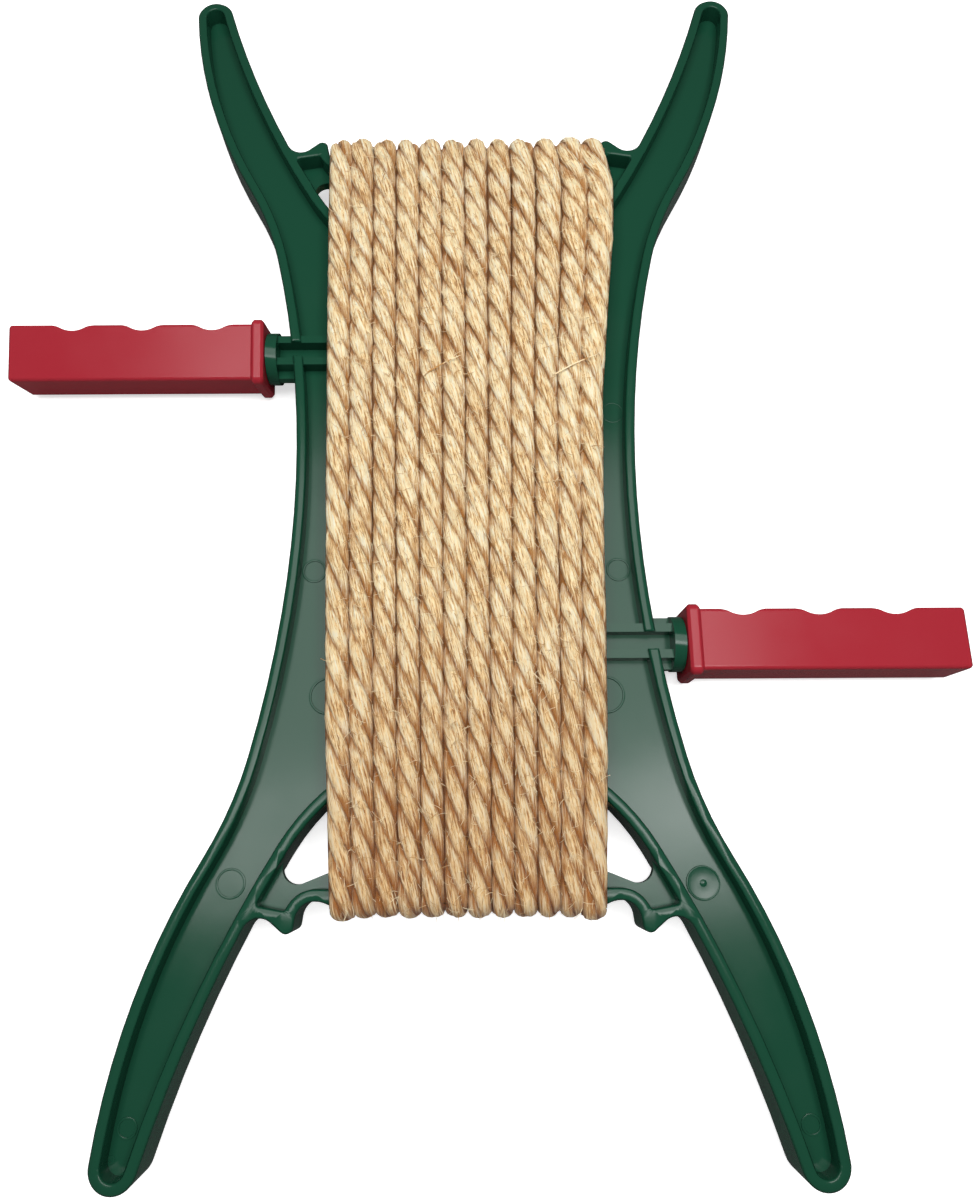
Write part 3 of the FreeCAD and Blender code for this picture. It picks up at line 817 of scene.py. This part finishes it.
# %% Frame with soft edges
def merged_copy(node, name):
    """A copy of a CAD node's mesh, and its faces joined in a bmesh, ready to be finished."""
    mesh = nodes[node].data.copy()
    mesh.name = name
    if "custom_normal" in mesh.attributes:
        mesh.attributes.remove(mesh.attributes["custom_normal"])
    work = bmesh.new()
    work.from_mesh(mesh)
    bmesh.ops.remove_doubles(work, verts=work.verts, dist=0.002 * mm)
    return mesh, work


def finish_shading(obj):
    """Smooth over bevels and curves, sharp at corners, with the large faces kept flat."""
    obj.data.shade_smooth()
    obj.data.set_sharp_from_angle(angle=math.radians(50))
    weighted = obj.modifiers.new("flat_faces", "WEIGHTED_NORMAL")
    weighted.keep_sharp = True


def is_inner_rim(edge):
    """True for the sharp edge between a rim's flat top and the wall of a recess."""
    if len(edge.link_faces) != 2:
        return False
    flat = [abs(face.normal.z) > 0.99 for face in edge.link_faces]
    level = [abs(abs(v.co.z - plate_z) - rim_height) < 0.01 * mm for v in edge.verts]
    return all(level) and sum(flat) == 1 and edge.calc_face_angle(0) > math.radians(70)


frame_mesh, work = merged_copy("frame", "moulded_frame")
inner_edges = [edge for edge in work.edges if is_inner_rim(edge)]
bmesh.ops.bevel(work, geom=inner_edges, offset=0.5 * mm, segments=1, profile=0.5,
                affect="EDGES", clamp_overlap=False)
work.to_mesh(frame_mesh)
work.free()
frame_piece = show("moulded_frame", frame_mesh, "frame")
finish_shading(frame_piece)
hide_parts("frame")
print(len(inner_edges), "inner edges softened")

# %% [markdown]
# The mould leaves small raised circles on the web, where ejector pins and inserts met the plastic.
# Each is a low profile turned about an upright line, which a short function does in a few lines.
# One of them is a dished boss with a pip in its middle, the place where the plastic flowed in.


# %% Mould marks
half_web = 1.5                # mm, half the web's thickness
buried = -0.2                 # mm, a mark's foot below the web's face


def turned_profile(work, x, y, profile, is_ring, steps=36):
    """Turns pairs of radius and height, from the outside in, about an upright line. All in mm."""
    rings = []
    for radius, height in profile:
        angles = [2 * math.pi * step / steps for step in range(steps)]
        z = plate_z + (half_web + height) * mm
        rings.append([work.verts.new(((x + radius * math.cos(a)) * mm,
                                      (y + radius * math.sin(a)) * mm, z)) for a in angles])
    for outer, inner in zip(rings, rings[1:] + rings[:1] if is_ring else rings[1:]):
        for i in range(steps):
            after = (i + 1) % steps
            work.faces.new((outer[i], outer[after], inner[after], inner[i]))
    if not is_ring:
        work.faces.new(rings[-1])
        work.faces.new(rings[0][::-1])


def low_ring(radius, height, half_width=0.35, slope=0.08):
    """Profile of a low rounded ring, from its outer foot over its top to its inner foot, in mm."""
    shoulder = height * 0.8
    return [(radius + half_width + slope, buried), (radius + half_width - slope, shoulder),
            (radius, height),
            (radius - half_width + slope, shoulder), (radius - half_width - slope, buried)]


# Place across and along the reel, radius and height, in mm
circles = [(48, -26, 3.5, 0.4), (-48, -26, 3.5, 0.4), (42.3, -65.8, 5.4, 0.5),
           (-42.3, -65.8, 5.4, 0.5), (48.9, 28.8, 3.5, 0.12), (-68.3, -120, 4.0, 0.25),
           (92, -182.5, 2.5, 0.3), (-92, -182.5, 2.5, 0.3), (-95.7, -190, 0.9, 0.2)]
boss = [(4.95, buried), (4.85, 0.35), (4.65, 0.45), (4.4, 0.4), (4.2, 0.22), (1.1, 0.22),
        (0.9, 0.4), (0.4, 0.5)]
marks_mesh = bpy.data.meshes.new("mould_marks")
work = bmesh.new()
for x, y, radius, height in circles:
    turned_profile(work, x, y, low_ring(radius, height), is_ring=True)
turned_profile(work, 67.6, -120.5, boss, is_ring=False)
work.to_mesh(marks_mesh)
work.free()
marks_piece = show("mould_marks", marks_mesh, "frame")
finish_shading(marks_piece)
print(len(circles) + 1, "mould marks")

# %% [markdown]
# Polypropylene for such tools is dyed right through and comes out of the mould semi-glossy, so
# to the eye it is a deep, even colour with soft broad reflections.
# Its index of refraction is 1.49. The mould's fine grain scatters most of the shine, so the
# specular level is low. A noise as wide as the flow of the melt makes the gloss slightly uneven,
# which one number for the roughness would not.


# %% Green polypropylene
flow_size = 17 * mm
grain_size = 0.7 * mm         # a mould's grain is finer still, and is drawn this coarse to show


def moulded_plastic(name, colour, roughness, waxy):
    """Dyed moulded plastic. waxy is the share of light that goes just under its skin."""
    material, tree, output = new_material(name)
    place = add_node(tree, "ShaderNodeTexCoord")
    flow = add_node(tree, "ShaderNodeTexNoise", {
        0: place.outputs["Object"], "Scale": 1 / flow_size, "Detail": 3.0})
    tone = add_node(tree, "ShaderNodeMapRange", {
        0: flow.outputs[0], "From Min": 0.3, "From Max": 0.7,
        "To Min": roughness - 0.04, "To Max": roughness + 0.04})
    grain = add_node(tree, "ShaderNodeTexNoise", {
        0: place.outputs["Object"], "Scale": 1 / grain_size, "Detail": 2.0})
    bump = add_node(tree, "ShaderNodeBump", {
        "Height": grain.outputs[0], "Strength": 0.12, "Distance": 0.05 * mm})
    shader = add_node(tree, "ShaderNodeBsdfPrincipled", {
        "Base Color": linear(colour), "Roughness": tone.outputs[0], "IOR": 1.49,
        "Specular IOR Level": 0.21, "Subsurface Weight": waxy, "Subsurface Radius": (0.4, 1.0, 0.5),
        "Subsurface Scale": 1.0 * mm, "Normal": bump.outputs[0]})
    tree.links.new(shader.outputs[0], output.inputs[0])
    return material


green_polypropylene = moulded_plastic("green_polypropylene", "#15412F", roughness=0.17, waxy=0.0)
give(frame_piece, green_polypropylene)
give(marks_piece, green_polypropylene)
print(len(green_polypropylene.node_tree.nodes), "nodes in the green polypropylene")

# %% [markdown]
# The grips are red mouldings with a satin skin that looks a little waxy, because some light goes
# just under it. The CAD solids carry their finger grooves, but the thick edge at the mouth has
# plain chamfers there, so a small bevel rounds every edge that turns by 25 degrees or more. A
# Subdivision Surface would round the flat sides too, and they are flat on the real grip.

# %% Grips
red_plastic = moulded_plastic("red_plastic", "#982530", roughness=0.2, waxy=0.05)
for node in ("left_grip", "right_grip"):
    mesh, work = merged_copy(node, node + "_moulding")
    bmesh.ops.dissolve_limit(work, angle_limit=math.radians(0.5), verts=work.verts,
                             edges=work.edges)
    turning = [edge for edge in work.edges if len(edge.link_faces) == 2
               and edge.calc_face_angle(0) > math.radians(25)]
    bmesh.ops.bevel(work, geom=turning, offset=0.45 * mm, segments=2, profile=0.5,
                    affect="EDGES", clamp_overlap=True)
    work.to_mesh(mesh)
    work.free()
    piece = show(node + "_moulding", mesh, node)
    finish_shading(piece)
    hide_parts(node)
    give(piece, red_plastic)
    print(len(turning), "edges softened on", piece.name)

# %% [markdown]
# The stage is a plain white floor. It reads as white to the camera and keeps the soft shadow. It
# throws less light back than it shows, and least as a reflection, so that the walls and the
# undersides of the grips stay as dark as in the photograph. More lamps would whiten it too, but
# they would also wash out the reel, so Light Path tells the kinds of ray apart.

# %% White floor
floor_half = 3.0              # m, half the floor's side, far more than the view
floor_glow = 0.62             # what the floor adds of its own, as the camera sees it


def white_floor():
    """Plain floor of matt white paper, which to the eye has no edge and no shine."""
    mesh = bpy.data.meshes.new("floor")
    corners = [(x * floor_half, y * floor_half, 0) for x, y in ((-1, -1), (1, -1), (1, 1), (-1, 1))]
    mesh.from_pydata(corners, [], [(0, 1, 2, 3)])
    floor = bpy.data.objects.new("floor", mesh)
    bpy.context.scene.collection.objects.link(floor)
    material, tree, output = new_material("white_paper")
    paper = add_node(tree, "ShaderNodeBsdfDiffuse", {0: linear("#F4F4F4")})
    dim = add_node(tree, "ShaderNodeBsdfDiffuse", {0: linear("#CCCCCC")})
    mirrored = add_node(tree, "ShaderNodeBsdfDiffuse", {0: linear("#585858")})
    glow = add_node(tree, "ShaderNodeEmission", {0: (1, 1, 1, 1), 1: floor_glow})
    both = add_node(tree, "ShaderNodeAddShader", {0: paper.outputs[0], 1: glow.outputs[0]})
    ray = add_node(tree, "ShaderNodeLightPath")
    unseen = add_node(tree, "ShaderNodeMixShader", {
        0: ray.outputs["Is Glossy Ray"], 1: dim.outputs[0], 2: mirrored.outputs[0]})
    mix = add_node(tree, "ShaderNodeMixShader", {
        0: ray.outputs["Is Camera Ray"], 1: unseen.outputs[0], 2: both.outputs[0]})
    tree.links.new(mix.outputs[0], output.inputs[0])
    give(floor, material)
    return floor


floor_piece = white_floor()
print("floor", [round(side, 1) for side in floor_piece.dimensions[:2]], "m")

# %% [markdown]
# The light is that of a studio: one large soft panel overhead and a dim white surrounding, so
# that the walls that face sideways stay dark as in the photograph. An outdoor sky would light
# them from all sides.
# The panel's place follows from where its reflection lies on the flat webs. A narrow strip on its
# near side is brighter, which shows on the webs beside the near bridge, and a small lamp gives
# the bright spot on the right one. All three shine straight down, as an area lamp does unturned.

# %% Lamps and surroundings
room_glow = 0.15              # strength of the surroundings, where 1 is white


def panel(name, place, width, height, watts):
    """Soft rectangular lamp that shines straight down. Sizes are in metres."""
    lamp = bpy.data.lights.new(name, "AREA")
    lamp.shape = "RECTANGLE"
    lamp.size, lamp.size_y, lamp.energy = width, height, watts
    obj = bpy.data.objects.new(name, lamp)
    obj.location = place
    bpy.context.scene.collection.objects.link(obj)


panel("overhead", (0, 0.056, 0.61), width=0.57, height=0.463, watts=4.1)
panel("strip", (0, -0.11, 0.6), width=0.56, height=0.122, watts=0.9)
panel("small_lamp", (0.205, -0.075, 0.6), width=0.07, height=0.045, watts=0.42)
world = bpy.data.worlds.new("studio")
bpy.context.scene.world = world
world.use_nodes = True
world.node_tree.nodes.clear()
dim_light = add_node(world.node_tree, "ShaderNodeBackground", {0: (1, 1, 1, 1), 1: room_glow})
plain_white = add_node(world.node_tree, "ShaderNodeBackground", {0: (1, 1, 1, 1), 1: 1.0})
ray = add_node(world.node_tree, "ShaderNodeLightPath")
surroundings = add_node(world.node_tree, "ShaderNodeMixShader", {
    0: ray.outputs["Is Camera Ray"], 1: dim_light.outputs[0], 2: plain_white.outputs[0]})
add_node(world.node_tree, "ShaderNodeOutputWorld", {0: surroundings.outputs[0]})
bpy.context.scene.view_settings.view_transform = "Standard"
print(len(bpy.data.lights), "lamps")
